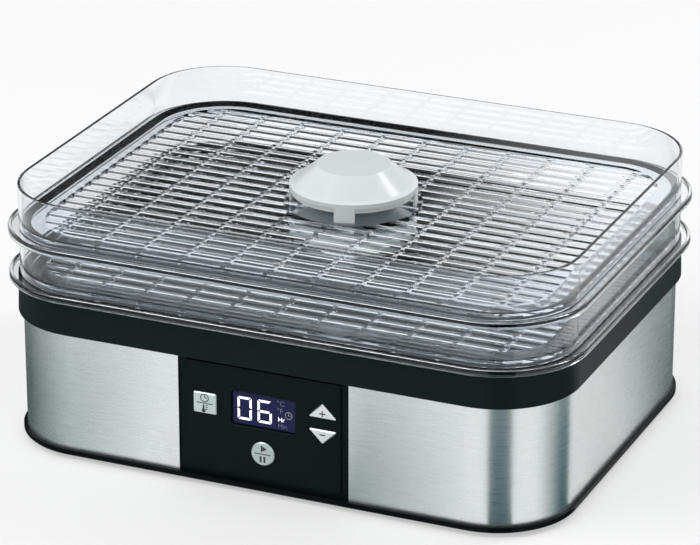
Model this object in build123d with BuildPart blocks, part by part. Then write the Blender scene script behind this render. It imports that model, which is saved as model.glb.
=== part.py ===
from build123d import *
import os
from math import atan, cos, radians, sin

# Food dehydrator: a fan-and-heater base wrapped in steel, with two clear nesting trays.
# Millimetres, +Z up, front towards -Y, origin on the floor under the middle of the base.
# Outlines are given as outsets from the outer face of the steel wrap, inwards negative.

# Steel wrap
STEEL_W = 376.0
STEEL_D = 285.0
STEEL_R = 51.0
STEEL_T = 0.8
STEEL_H = 80.0

# Bottom pan, its skirt and the feet
FOOT_DROP = 3.0
FOOT_R = 9.0
FOOT_SINK = 1.0
FOOT_INSET = 46.0
SKIRT_H = 4.0
SKIRT_OUTSET = 2.5
PAN_T = 2.5
UPSTAND_H = 26.0
INNER_WALL_T = 2.2
SKIRT_CHAMFER = 0.8
FOOT_CHAMFER = 0.8

# Depth of the cuts made through the walls from outside
CUT_DEPTH = 25.0

# Top housing: the black band, the sunk deck and its air outlet
BAND_H = 25.0
BAND_OUTSET = 2.6
BAND_FLARE = 0.8
BAND_T = 2.2
DECK_DROP = 13.0
DECK_T = 2.5
INNER_WALL_H = 16.0
OUTLET_R = 45.0
COLLAR_T = 2.5
COLLAR_H = 4.0
GRILLE_T = 2.0
GRILLE_BAR = 3.0
GRILLE_SPOKES = 12
GRILLE_HUB_R = 9.0

# Posts and screws that hold the pan to the top housing
POST_R = 5.0
POST_INSET = 30.0
BOSS_R = 6.2
BOSS_H = 3.5
HEAD_SINK = 4.2
SCREW_R = 1.5
SCREW_HEAD_R = 3.6
SCREW_HEAD_H = 2.2
SCREW_BITE = 16.0

# Control fascia on the front
FASCIA_W = 117.0
FASCIA_T = 3.0
FASCIA_SINK = 1.2
FASCIA_LIP = 4.0
FASCIA_LIP_T = 1.6
FASCIA_PLATE_W = 107.0
FASCIA_PLATE_FOOT = 3.5
FASCIA_PLATE_HEAD = 1.8
FASCIA_PLATE_SLOPE = 26.0
CONTROL_ROW_Z = 9.7
DISPLAY_W = 43.5
DISPLAY_H = 22.3
DISPLAY_R = 1.6
DISPLAY_SINK = 2.0
DISPLAY_CHAMFER = 0.3
DISPLAY_BEVEL = 0.5
MODULE_EDGE = 3.0
MODE_X = -39.8
MODE_W = 15.9
MODE_H = 14.2
MODE_R = 1.2
START_DROP = 28.0
START_R = 8.0
ARROW_X = 41.1
ARROW_W = 19.6
ARROW_H = 9.6
ARROW_GAP = 8.0
ARROW_R = 0.6
BUTTON_PROUD = 1.1
BUTTON_CHAMFER = 0.6
BUTTON_TRAVEL = 0.8
BUTTON_LIP = 0.9
BUTTON_LIP_T = 1.0
BUTTON_STEM_R = 2.0

# Control board behind the fascia
BOARD_T = 1.6
BOARD_GAP = 9.0
BOARD_W = 110.0
BOARD_EDGE = 7.0
BOARD_POST_R = 3.0
BOARD_POST_INSET = 4.5
SWITCH_W = 6.0
SWITCH_H = 3.5
SWITCH_CAP_R = 1.7
SWITCH_CAP_H = 1.4
SMALL_SCREW_R = 1.1
SMALL_HEAD_R = 2.2
SMALL_HEAD_H = 1.4
SMALL_SCREW_BITE = 6.0

# Power board on the pan
POWER_SIDE_GAP = 31.0
POWER_REAR_GAP = 19.5
POWER_W = 78.0
POWER_D = 96.0
POWER_LIFT = 6.0
TRANSFORMER = (34.0, 28.0, 26.0)
RELAY = (20.0, 16.0, 15.0)
CAPACITOR_R = 6.0
CAPACITOR_H = 20.0
CAPACITOR_PITCH = 18.0
RIBBON_H = 12.0
RIBBON_T = 1.0
RIBBON_X = 40.0
RIBBON_LIFT = 3.0
RIBBON_BEND = 14.0
PLUG_W = 6.0
PLUG_T = 5.0

# Fan, motor and heater under the outlet
DUCT_T = 2.0
DUCT_LIFT = 2.5
FAN_TIP_GAP = 4.0
FAN_HUB_R = 11.0
FAN_HUB_H = 14.0
FAN_LIFT = 8.0
FAN_BLADES = 7
BLADE_T = 1.6
BLADE_CHORD = 17.0
BLADE_PITCH = 36.0
SHAFT_R = 2.0
MOTOR_R = 27.0
MOTOR_H = 22.0
MOTOR_EDGE_R = 2.8
MOTOR_BELL_R = 10.0
MOTOR_BELL_H = 5.0
BRACKET_T = 1.5
BRACKET_W = 22.0
BRACKET_SPAN = 86.0
BRACKET_LIFT = 9.0
BRACKET_POST_R = 5.5
VENT_R = 58.0
VENT_L = 22.0
VENT_W = 4.0
VENT_COUNT = 24
HEATER_WALL_GAP = 14.0
HEATER_TUBE_R = 3.2
HEATER_GAP_DEG = 40.0
HEATER_TAIL = 4.2
HEATER_DROP = 17.0
CLIP_W = 8.0
CLIP_T = 1.2
CLIP_COUNT = 3
CLIP_TURN = 60.0
CUTOUT_R = 5.0
CUTOUT_T = 4.7
SENSOR_R = 2.2
SENSOR_L = 16.0
SENSOR_REACH = 10.0

# Cord gland in the rear wall
GLAND_X = -118.0
GLAND_LIFT = 13.0
GLAND_R = 7.5
GLAND_BORE_R = 3.6
GLAND_FLANGE_R = 10.5
GLAND_FLANGE_T = 3.0
GLAND_EDGE_R = 1.5
GLAND_NUT_T = 4.0

# Clear trays
TRAY_H = 31.0
TRAY_OUTSET = 1.5
TRAY_WALL = 2.0
FLANGE_W = 7.0
FLANGE_T = 2.0
FLANGE_EDGE_W = 2.6
FLANGE_EDGE_DROP = 1.5
FLANGE_EDGE_RISE = 1.2
FLANGE_EDGE_R = 1.0
LEDGE_W = 6.0
LOCATOR_T = 2.0
LOCATOR_H = 3.5
MARGIN_W = 15.0
RIB_H = 1.8
RIB_W = 3.0
BEAD_R = 2.6
RIB_PITCH = 30.0
SLAT_H = 2.0
SLAT_W = 5.0
SLAT_PITCH = 12.0
SLAT_R = 0.8
RIM_R = 0.8
CAP_SEAT_EDGE = 3.3
TRAY_HOLE_R = 18.0

# Air cap in the middle of each tray
CAP_R = 41.7
CAP_T = 2.0
CAP_STAND = 12.5
CAP_RIM_H = 3.0
CAP_RING_H = 3.2
CAP_RING_IN = 1.6
CAP_SHOULDER = 3.2
CAP_SHOULDER_RISE = 1.0
CAP_TOP_R = 24.0
CAP_HEADROOM = 1.6
CAP_RECESS = 3.6
CAP_RECESS_R = 21.8
CAP_SLOTS = 5
CAP_SLOT_R = 19.6
CAP_SLOT_DEG = 54.0
CAP_SLOT_W = 3.2
CAP_LEGS = 4
CAP_LEG_W = 13.5
CAP_LEG_TURN = 15.0

# Clearances
FIT = 0.3
TRAY_FIT = 0.4
BUTTON_FIT = 0.4
SHAFT_FIT = 0.05
SCREW_FIT = 0.1

# Levels, from the floor up
SKIRT_Z = FOOT_DROP
PAN_Z = SKIRT_Z + PAN_T
STEEL_Z = SKIRT_Z + SKIRT_H
BAND_Z = STEEL_Z + STEEL_H
SEAT_Z = BAND_Z + BAND_H
DECK_Z = SEAT_Z - DECK_DROP
DECK_UNDER_Z = DECK_Z - DECK_T
FASCIA_Z = STEEL_Z + STEEL_H / 2

# Outsets that follow from the sizes above
WALL_OUTER = -STEEL_T - FIT
WALL_INNER = WALL_OUTER - INNER_WALL_T
BAND_INNER = BAND_OUTSET - BAND_T
FRONT = Plane(origin=(0, -STEEL_D / 2, 0), x_dir=(1, 0, 0), z_dir=(0, -1, 0))

os.makedirs("parts", exist_ok=True)


def outline(outset):
    """Width, depth and corner radius of the steel outline grown by an outset."""
    return STEEL_W + 2 * outset, STEEL_D + 2 * outset, STEEL_R + outset


def plate(level, outset):
    with BuildSketch(Plane.XY.offset(level)) as face:
        RectangleRounded(*outline(outset))
    return face.sketch


def ring(level, outer, inner):
    with BuildSketch(Plane.XY.offset(level)) as face:
        RectangleRounded(*outline(outer))
        RectangleRounded(*outline(inner), mode=Mode.SUBTRACT)
    return face.sketch


def disc(level, radius, hole=0.0):
    with BuildSketch(Plane.XY.offset(level)) as face:
        Circle(radius)
        if hole:
            Circle(hole, mode=Mode.SUBTRACT)
    return face.sketch


def save(part, name):
    part.label = name
    export_step(part, f"parts/{name}.step")


def corners(inset):
    """Four places inside the corners of the steel outline."""
    return GridLocations(STEEL_W - 2 * inset, STEEL_D - 2 * inset, 2, 2)


def button_shape(name, depth, grow=0.0):
    """A button's outline on the front, at a depth behind the steel's face."""
    with BuildSketch(FRONT.offset(-depth)) as face:
        if name == "mode_button":
            with Locations((MODE_X, FASCIA_Z + CONTROL_ROW_Z)):
                RectangleRounded(MODE_W, MODE_H, MODE_R)
        elif name == "start_button":
            with Locations((0, FASCIA_Z + CONTROL_ROW_Z - START_DROP)):
                Circle(START_R)
        else:
            up = 1 if name == "plus_button" else -1
            base = up * ARROW_GAP / 2
            tip = base + up * ARROW_H
            with Locations((ARROW_X, FASCIA_Z + CONTROL_ROW_Z)):
                Polygon((-ARROW_W / 2, base), (ARROW_W / 2, base), (0, tip))
            fillet(face.vertices(), ARROW_R)
        if grow:
            offset(amount=grow)
    return face.sketch


BUTTONS = ("mode_button", "start_button", "plus_button", "minus_button")
SWITCH_PLACES = (
    (MODE_X, FASCIA_Z + CONTROL_ROW_Z),
    (0, FASCIA_Z + CONTROL_ROW_Z - START_DROP),
    (ARROW_X, FASCIA_Z + CONTROL_ROW_Z + ARROW_GAP / 2 + ARROW_H / 3),
    (ARROW_X, FASCIA_Z + CONTROL_ROW_Z - ARROW_GAP / 2 - ARROW_H / 3),
)
FASCIA_BACK = FASCIA_SINK + FASCIA_T
BOARD_FRONT = FASCIA_BACK + BOARD_GAP
BOARD_H = STEEL_H - 2 * BOARD_EDGE
BOARD_POST_GRID = (
    BOARD_W - 2 * BOARD_POST_INSET,
    BOARD_H - 2 * BOARD_POST_INSET,
)
FASCIA_NOTCH_W = FASCIA_W + 2 * FASCIA_LIP + 2 * FIT


def front_notch(low, high):
    """The block that clears the inner walls behind the fascia."""
    with BuildPart() as notch:
        with BuildSketch(FRONT.offset(-STEEL_T)):
            with Locations((0, (low + high) / 2)):
                Rectangle(FASCIA_NOTCH_W, high - low)
        extrude(amount=-CUT_DEPTH)
    return notch.part


# Bottom pan: floor, skirt under the steel, upstand inside it, bosses and intake slots.
POWER_X = STEEL_W / 2 - POWER_SIDE_GAP - POWER_W / 2
POWER_Y = STEEL_D / 2 - POST_INSET - POST_R - POWER_REAR_GAP - POWER_D / 2
POWER_Z = PAN_Z + POWER_LIFT
GLAND_Z = STEEL_Z + GLAND_LIFT
REAR = Plane(origin=(0, STEEL_D / 2, 0), x_dir=(-1, 0, 0), z_dir=(0, 1, 0))
POWER_GRID = (POWER_W - 2 * BOARD_POST_INSET, POWER_D - 2 * BOARD_POST_INSET)

with BuildPart() as bottom_pan:
    extrude(plate(SKIRT_Z, SKIRT_OUTSET), amount=SKIRT_H)
    chamfer(bottom_pan.faces().sort_by(Axis.Z)[0].edges(), SKIRT_CHAMFER)
    extrude(plate(PAN_Z, WALL_INNER), amount=SKIRT_H, mode=Mode.SUBTRACT)
    extrude(ring(STEEL_Z, WALL_OUTER, WALL_INNER), amount=UPSTAND_H)
    add(front_notch(STEEL_Z, STEEL_Z + UPSTAND_H), mode=Mode.SUBTRACT)
    with BuildSketch(Plane.XY.offset(PAN_Z)):
        with corners(POST_INSET):
            Circle(BOSS_R)
    extrude(amount=BOSS_H)
    with BuildSketch(Plane.XY.offset(PAN_Z)):
        with Locations((POWER_X, POWER_Y)):
            with GridLocations(*POWER_GRID, 2, 2):
                Circle(BOARD_POST_R)
    extrude(amount=POWER_LIFT)
    with BuildSketch(Plane.XY.offset(PAN_Z)):
        with GridLocations(BRACKET_SPAN, 1, 2, 1):
            Circle(BRACKET_POST_R)
    extrude(amount=BRACKET_LIFT)
    with BuildSketch(Plane.XY.offset(SKIRT_Z)):
        with corners(POST_INSET):
            Circle(SCREW_HEAD_R + FIT)
    extrude(amount=HEAD_SINK, mode=Mode.SUBTRACT)
    with BuildSketch(Plane.XY.offset(SKIRT_Z)):
        with corners(POST_INSET):
            Circle(SCREW_R + FIT)
    extrude(amount=PAN_T + BOSS_H, mode=Mode.SUBTRACT)
    with BuildSketch(Plane.XY.offset(SKIRT_Z)):
        with corners(FOOT_INSET):
            Circle(FOOT_R + FIT)
    extrude(amount=FOOT_SINK, mode=Mode.SUBTRACT)
    with BuildSketch(Plane.XY.offset(SKIRT_Z)):
        with PolarLocations(VENT_R, VENT_COUNT):
            SlotOverall(VENT_L, VENT_W)
    extrude(amount=PAN_T, mode=Mode.SUBTRACT)
    with BuildSketch(Plane.XY.offset(PAN_Z + BRACKET_LIFT)):
        with GridLocations(BRACKET_SPAN, 1, 2, 1):
            Circle(SMALL_SCREW_R + SCREW_FIT)
    extrude(amount=-SMALL_SCREW_BITE, mode=Mode.SUBTRACT)
    with BuildSketch(Plane.XY.offset(POWER_Z)):
        with Locations((POWER_X, POWER_Y)):
            with GridLocations(*POWER_GRID, 2, 2):
                Circle(SMALL_SCREW_R + SCREW_FIT)
    extrude(amount=-SMALL_SCREW_BITE + BOARD_T, mode=Mode.SUBTRACT)
    with BuildSketch(REAR):
        with Locations((-GLAND_X, GLAND_Z)):
            Circle(GLAND_R + FIT)
    extrude(amount=-CUT_DEPTH, mode=Mode.SUBTRACT)
save(bottom_pan.part, "bottom_pan")

# Rubber feet, glued into shallow seats under the pan.
with BuildPart() as rubber_feet:
    with BuildSketch(Plane.XY):
        with corners(FOOT_INSET):
            Circle(FOOT_R)
    extrude(amount=FOOT_DROP + FOOT_SINK)
    chamfer(rubber_feet.faces().group_by(Axis.Z)[0].edges(), FOOT_CHAMFER)
save(rubber_feet.part, "rubber_feet")

# Steel wrap: one bent sheet, open at the front where the fascia sits.
with BuildPart() as steel_wrap:
    extrude(ring(STEEL_Z, 0, -STEEL_T), amount=STEEL_H)
    with BuildSketch(FRONT.offset(STEEL_T)):
        with Locations((0, FASCIA_Z)):
            Rectangle(FASCIA_W, STEEL_H)
    extrude(amount=-CUT_DEPTH, mode=Mode.SUBTRACT)
    with BuildSketch(REAR.offset(STEEL_T)):
        with Locations((-GLAND_X, GLAND_Z)):
            Circle(GLAND_R + FIT)
    extrude(amount=-CUT_DEPTH, mode=Mode.SUBTRACT)
save(steel_wrap.part, "steel_wrap")

# Top housing: flared band, sunk deck with the outlet collar, inner wall and screw posts.
POST_Z = PAN_Z + BOSS_H
with BuildPart() as top_housing:
    loft([plate(BAND_Z, BAND_OUTSET + BAND_FLARE), plate(SEAT_Z, BAND_OUTSET)], ruled=True)
    fillet(top_housing.faces().sort_by(Axis.Z)[0].edges(), BAND_FLARE)
    extrude(plate(DECK_Z, BAND_INNER), amount=DECK_DROP, mode=Mode.SUBTRACT)
    extrude(plate(BAND_Z, WALL_INNER), amount=DECK_UNDER_Z - BAND_Z, mode=Mode.SUBTRACT)
    extrude(ring(BAND_Z, WALL_OUTER, WALL_INNER), amount=-INNER_WALL_H)
    add(front_notch(BAND_Z - INNER_WALL_H, BAND_Z), mode=Mode.SUBTRACT)
    extrude(disc(DECK_Z, OUTLET_R + COLLAR_T), amount=COLLAR_H)
    extrude(disc(DECK_UNDER_Z, OUTLET_R), amount=DECK_T + COLLAR_H, mode=Mode.SUBTRACT)
    with BuildSketch(Plane.XY.offset(POST_Z)):
        with corners(POST_INSET):
            Circle(POST_R)
    extrude(amount=DECK_UNDER_Z - POST_Z)
    with BuildSketch(Plane.XY.offset(POST_Z)):
        with corners(POST_INSET):
            Circle(SCREW_R + SCREW_FIT)
    extrude(amount=SCREW_BITE + FIT, mode=Mode.SUBTRACT)
save(top_housing.part, "top_housing")

# Housing screws, driven up from under the pan into the posts.
HEAD_Z = SKIRT_Z + HEAD_SINK
with BuildPart() as housing_screws:
    with BuildSketch(Plane.XY.offset(HEAD_Z)):
        with corners(POST_INSET):
            Circle(SCREW_HEAD_R)
    extrude(amount=-SCREW_HEAD_H)
    with BuildSketch(Plane.XY.offset(HEAD_Z)):
        with corners(POST_INSET):
            Circle(SCREW_R)
    extrude(amount=POST_Z - HEAD_Z + SCREW_BITE)
save(housing_screws.part, "housing_screws")

# Outlet grille: a spoked guard in the collar, over the heater.
GUARD_R = OUTLET_R - FIT
GUARD_MID_R = (GUARD_R + GRILLE_HUB_R) / 2
SPOKE_L = GUARD_R - GRILLE_BAR / 2
with BuildPart() as outlet_grille:
    extrude(disc(DECK_Z, GUARD_R, GUARD_R - GRILLE_BAR), amount=GRILLE_T)
    extrude(disc(DECK_Z, GUARD_MID_R + GRILLE_BAR / 2, GUARD_MID_R - GRILLE_BAR / 2), amount=GRILLE_T)
    extrude(disc(DECK_Z, GRILLE_HUB_R), amount=GRILLE_T)
    with BuildSketch(Plane.XY.offset(DECK_Z)):
        with PolarLocations(SPOKE_L / 2, GRILLE_SPOKES):
            Rectangle(SPOKE_L, GRILLE_BAR)
    extrude(amount=GRILLE_T)
    extrude(disc(DECK_UNDER_Z, GUARD_R, GUARD_R - GRILLE_BAR / 2), amount=DECK_T)
save(outlet_grille.part, "outlet_grille")

# Control fascia: a sunk black panel with a raised plate, held by lips behind the steel.
with BuildPart() as control_fascia:
    with BuildSketch(FRONT.offset(-FASCIA_SINK)):
        with Locations((0, FASCIA_Z)):
            Rectangle(FASCIA_W - 2 * FIT, STEEL_H)
    extrude(amount=-FASCIA_T)
    plate_h = STEEL_H - FASCIA_PLATE_FOOT - FASCIA_PLATE_HEAD
    with BuildSketch(FRONT.offset(-FASCIA_SINK)):
        with Locations((0, FASCIA_Z + (FASCIA_PLATE_FOOT - FASCIA_PLATE_HEAD) / 2)):
            Rectangle(FASCIA_PLATE_W, plate_h)
    extrude(amount=FASCIA_SINK, taper=FASCIA_PLATE_SLOPE)
    with BuildSketch(FRONT.offset(-FASCIA_BACK)):
        with Locations((0, FASCIA_Z)):
            Rectangle(FASCIA_W + 2 * FASCIA_LIP, STEEL_H)
    extrude(amount=FASCIA_LIP_T)
    with BuildSketch(FRONT.offset(-FASCIA_BACK)):
        with Locations((0, FASCIA_Z)):
            with GridLocations(*BOARD_POST_GRID, 2, 2):
                Circle(BOARD_POST_R)
    extrude(amount=-BOARD_GAP)
    with BuildSketch(FRONT.offset(-BOARD_FRONT)):
        with Locations((0, FASCIA_Z)):
            with GridLocations(*BOARD_POST_GRID, 2, 2):
                Circle(SMALL_SCREW_R + SCREW_FIT)
    extrude(amount=SMALL_SCREW_BITE, mode=Mode.SUBTRACT)
    for name in BUTTONS:
        hole = button_shape(name, FASCIA_BACK, BUTTON_FIT)
        extrude(hole, amount=FASCIA_BACK, mode=Mode.SUBTRACT)
    with BuildSketch(FRONT.offset(-FASCIA_BACK)):
        with Locations((0, FASCIA_Z + CONTROL_ROW_Z)):
            RectangleRounded(DISPLAY_W + 2 * FIT, DISPLAY_H + 2 * FIT, DISPLAY_R + FIT)
    extrude(amount=FASCIA_BACK, mode=Mode.SUBTRACT)
    edge = FIT + DISPLAY_BEVEL
    with BuildSketch(FRONT):
        with Locations((0, FASCIA_Z + CONTROL_ROW_Z)):
            RectangleRounded(DISPLAY_W + 2 * edge, DISPLAY_H + 2 * edge, DISPLAY_R + edge)
    extrude(amount=-DISPLAY_BEVEL, taper=45, mode=Mode.SUBTRACT)
save(control_fascia.part, "control_fascia")

# Display window: a tinted lens sunk in the bevelled opening of the fascia.
with BuildPart() as display_window:
    with BuildSketch(FRONT.offset(-FASCIA_BACK)):
        with Locations((0, FASCIA_Z + CONTROL_ROW_Z)):
            RectangleRounded(DISPLAY_W, DISPLAY_H, DISPLAY_R)
    extrude(amount=FASCIA_BACK - DISPLAY_SINK)
    chamfer(display_window.faces().sort_by(Axis.Y)[0].edges(), DISPLAY_CHAMFER)
save(display_window.part, "display_window")

# Display module, between the lens and the control board.
with BuildPart() as display_module:
    with BuildSketch(FRONT.offset(-FASCIA_BACK)):
        with Locations((0, FASCIA_Z + CONTROL_ROW_Z)):
            Rectangle(DISPLAY_W + 2 * MODULE_EDGE, DISPLAY_H + 2 * MODULE_EDGE)
    extrude(amount=-BOARD_GAP)
save(display_module.part, "display_module")

# Control board with a switch behind each button.
with BuildPart() as control_board:
    with BuildSketch(FRONT.offset(-BOARD_FRONT)):
        with Locations((0, FASCIA_Z)):
            Rectangle(BOARD_W, BOARD_H)
            with GridLocations(*BOARD_POST_GRID, 2, 2):
                Circle(SMALL_SCREW_R + FIT, mode=Mode.SUBTRACT)
    extrude(amount=-BOARD_T)
save(control_board.part, "control_board")

with BuildPart() as tact_switches:
    with BuildSketch(FRONT.offset(-BOARD_FRONT)):
        with Locations(*SWITCH_PLACES):
            Rectangle(SWITCH_W, SWITCH_W)
    extrude(amount=SWITCH_H)
    with BuildSketch(FRONT.offset(-BOARD_FRONT + SWITCH_H)):
        with Locations(*SWITCH_PLACES):
            Circle(SWITCH_CAP_R)
    extrude(amount=SWITCH_CAP_H)
save(tact_switches.part, "tact_switches")

# Board screws: four behind the control board and four over the power board.
with BuildPart() as board_screws:
    back = BOARD_FRONT + BOARD_T
    with BuildSketch(FRONT.offset(-back)):
        with Locations((0, FASCIA_Z)):
            with GridLocations(*BOARD_POST_GRID, 2, 2):
                Circle(SMALL_HEAD_R)
    extrude(amount=-SMALL_HEAD_H)
    with BuildSketch(FRONT.offset(-back)):
        with Locations((0, FASCIA_Z)):
            with GridLocations(*BOARD_POST_GRID, 2, 2):
                Circle(SMALL_SCREW_R)
    extrude(amount=SMALL_SCREW_BITE)
    with BuildSketch(Plane.XY.offset(POWER_Z + BOARD_T)):
        with Locations((POWER_X, POWER_Y)):
            with GridLocations(*POWER_GRID, 2, 2):
                Circle(SMALL_HEAD_R)
    extrude(amount=SMALL_HEAD_H)
    with BuildSketch(Plane.XY.offset(POWER_Z + BOARD_T)):
        with Locations((POWER_X, POWER_Y)):
            with GridLocations(*POWER_GRID, 2, 2):
                Circle(SMALL_SCREW_R)
    extrude(amount=-SMALL_SCREW_BITE + FIT)
save(board_screws.part, "board_screws")

# Buttons: a domed cap in the fascia, a lip behind it and a stem towards the switch.
STEM_L = BOARD_GAP - BUTTON_LIP_T - SWITCH_H - SWITCH_CAP_H - BUTTON_TRAVEL - FIT
for name, place in zip(BUTTONS, SWITCH_PLACES):
    with BuildPart() as button:
        extrude(button_shape(name, FASCIA_BACK), amount=FASCIA_BACK + BUTTON_PROUD)
        front_face = button.faces().sort_by(Axis.Y)[0]
        chamfer(front_face.edges(), BUTTON_CHAMFER)
        extrude(button_shape(name, FASCIA_BACK, BUTTON_FIT + BUTTON_LIP), amount=-BUTTON_LIP_T)
        with BuildSketch(FRONT.offset(-FASCIA_BACK - BUTTON_LIP_T)):
            with Locations(place):
                Circle(BUTTON_STEM_R)
        extrude(amount=-STEM_L)
    save(button.part, name)

# Power board with its transformer, relay and capacitors.
with BuildPart() as power_board:
    with BuildSketch(Plane.XY.offset(POWER_Z)):
        with Locations((POWER_X, POWER_Y)):
            Rectangle(POWER_W, POWER_D)
            with GridLocations(*POWER_GRID, 2, 2):
                Circle(SMALL_SCREW_R + FIT, mode=Mode.SUBTRACT)
    extrude(amount=BOARD_T)
save(power_board.part, "power_board")

with BuildPart() as power_components:
    board_top = POWER_Z + BOARD_T
    with Locations((POWER_X, POWER_Y + POWER_D / 4, board_top)):
        Box(*TRANSFORMER, align=(Align.CENTER, Align.CENTER, Align.MIN))
    with Locations((POWER_X + POWER_W / 5, POWER_Y - POWER_D / 8, board_top)):
        Box(*RELAY, align=(Align.CENTER, Align.CENTER, Align.MIN))
    with Locations((POWER_X - POWER_W / 5, POWER_Y - POWER_D / 8, board_top)):
        with GridLocations(1, CAPACITOR_PITCH, 1, 2):
            Cylinder(CAPACITOR_R, CAPACITOR_H, align=(Align.CENTER, Align.CENTER, Align.MIN))
save(power_components.part, "power_components")

# Ribbon cable on edge, from a plug behind the control board to one on the power board.
BOARD_BACK_Y = -STEEL_D / 2 + BOARD_FRONT + BOARD_T
POWER_FRONT_Y = POWER_Y - POWER_D / 2
RIBBON_Z = board_top + RIBBON_LIFT
RIBBON_END_X = POWER_X - POWER_W / 4
with BuildPart() as ribbon_cable:
    with BuildSketch(Plane.XY.offset(RIBBON_Z)):
        with BuildLine():
            FilletPolyline(
                (RIBBON_X, BOARD_BACK_Y + PLUG_T / 2),
                (RIBBON_X, (BOARD_BACK_Y + POWER_FRONT_Y) / 2),
                (RIBBON_END_X, (BOARD_BACK_Y + 3 * POWER_FRONT_Y) / 4),
                (RIBBON_END_X, POWER_FRONT_Y + PLUG_T),
                radius=RIBBON_BEND,
            )
        trace(line_width=RIBBON_T)
        with Locations((RIBBON_X, BOARD_BACK_Y)):
            Rectangle(PLUG_W, PLUG_T, align=(Align.CENTER, Align.MIN))
    extrude(amount=RIBBON_H)
    with BuildSketch(Plane.XY.offset(board_top)):
        with Locations((RIBBON_END_X, POWER_FRONT_Y + PLUG_T)):
            Rectangle(PLUG_W, PLUG_T)
    extrude(amount=RIBBON_LIFT + RIBBON_H)
save(ribbon_cable.part, "ribbon_cable")

# Fan motor on a strap across two posts of the pan.
BRACKET_Z = PAN_Z + BRACKET_LIFT
MOTOR_Z = BRACKET_Z + BRACKET_T
MOTOR_TOP_Z = MOTOR_Z + MOTOR_H
BELL_TOP_Z = MOTOR_TOP_Z + MOTOR_BELL_H
with BuildPart() as motor_bracket:
    with BuildSketch(Plane.XY.offset(BRACKET_Z)):
        SlotCenterToCenter(BRACKET_SPAN, BRACKET_W)
        with GridLocations(BRACKET_SPAN, 1, 2, 1):
            Circle(SMALL_SCREW_R + FIT, mode=Mode.SUBTRACT)
    extrude(amount=BRACKET_T)
save(motor_bracket.part, "motor_bracket")

with BuildPart() as motor_screws:
    with BuildSketch(Plane.XY.offset(MOTOR_Z)):
        with GridLocations(BRACKET_SPAN, 1, 2, 1):
            Circle(SMALL_HEAD_R)
    extrude(amount=SMALL_HEAD_H)
    with BuildSketch(Plane.XY.offset(MOTOR_Z)):
        with GridLocations(BRACKET_SPAN, 1, 2, 1):
            Circle(SMALL_SCREW_R)
    extrude(amount=-SMALL_SCREW_BITE + FIT)
save(motor_screws.part, "motor_screws")

with BuildPart() as fan_motor:
    extrude(disc(MOTOR_Z, MOTOR_R), amount=MOTOR_H)
    fillet(fan_motor.faces().sort_by(Axis.Z)[-1].edges(), MOTOR_EDGE_R)
    extrude(disc(MOTOR_TOP_Z, MOTOR_BELL_R), amount=MOTOR_BELL_H)
    bore = disc(MOTOR_Z + MOTOR_H / 2, SHAFT_R + SHAFT_FIT)
    extrude(bore, amount=MOTOR_H, mode=Mode.SUBTRACT)
save(fan_motor.part, "fan_motor")

# Fan rotor and its shaft turn together.
DUCT_R = OUTLET_R - DUCT_T
FAN_R = DUCT_R - FAN_TIP_GAP
FAN_Z = BELL_TOP_Z + FAN_LIFT
FAN_TOP_Z = FAN_Z + FAN_HUB_H
with BuildPart() as motor_shaft:
    extrude(disc(MOTOR_Z + MOTOR_H / 2 + FIT, SHAFT_R), amount=FAN_TOP_Z - MOTOR_Z - MOTOR_H / 2 - FIT)
save(motor_shaft.part, "motor_shaft")

with BuildPart() as fan_rotor:
    blade_l = FAN_R - FAN_HUB_R / 2
    with PolarLocations(FAN_HUB_R / 2 + blade_l / 2, FAN_BLADES):
        with Locations((0, 0, FAN_Z + FAN_HUB_H / 2)):
            Box(blade_l, BLADE_CHORD, BLADE_T, rotation=(BLADE_PITCH, 0, 0))
    extrude(disc(FAN_Z, FAN_R), amount=FAN_HUB_H, mode=Mode.INTERSECT)
    extrude(disc(FAN_Z, FAN_HUB_R), amount=FAN_HUB_H)
    fillet(fan_rotor.faces().sort_by(Axis.Z)[-1].edges().filter_by(GeomType.CIRCLE), BLADE_T)
    extrude(disc(FAN_Z, SHAFT_R), amount=FAN_HUB_H, mode=Mode.SUBTRACT)
save(fan_rotor.part, "fan_rotor")

# Air duct under the deck, round the fan and the heater.
DUCT_Z = MOTOR_TOP_Z + DUCT_LIFT
HEATER_R = DUCT_R - HEATER_WALL_GAP
HEATER_Z = DECK_Z - HEATER_DROP
SENSOR_Z = FAN_TOP_Z + FAN_HUB_H / 2
with BuildPart() as air_duct:
    extrude(disc(DECK_UNDER_Z, OUTLET_R + COLLAR_T, DUCT_R), amount=-DUCT_T)
    extrude(disc(DUCT_Z, OUTLET_R, DUCT_R), amount=DECK_UNDER_Z - DUCT_Z)
    with BuildSketch(Plane.YZ):
        with Locations((0, HEATER_Z)):
            with GridLocations(2 * HEATER_R * sin(radians(HEATER_GAP_DEG / 2)), 1, 2, 1):
                Circle(HEATER_TUBE_R + FIT)
    extrude(amount=OUTLET_R + COLLAR_T, mode=Mode.SUBTRACT)
    with BuildSketch(Plane.XZ):
        with Locations((0, SENSOR_Z)):
            Circle(SENSOR_R + SCREW_FIT)
    extrude(amount=OUTLET_R + COLLAR_T, mode=Mode.SUBTRACT)
save(air_duct.part, "air_duct")

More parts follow.
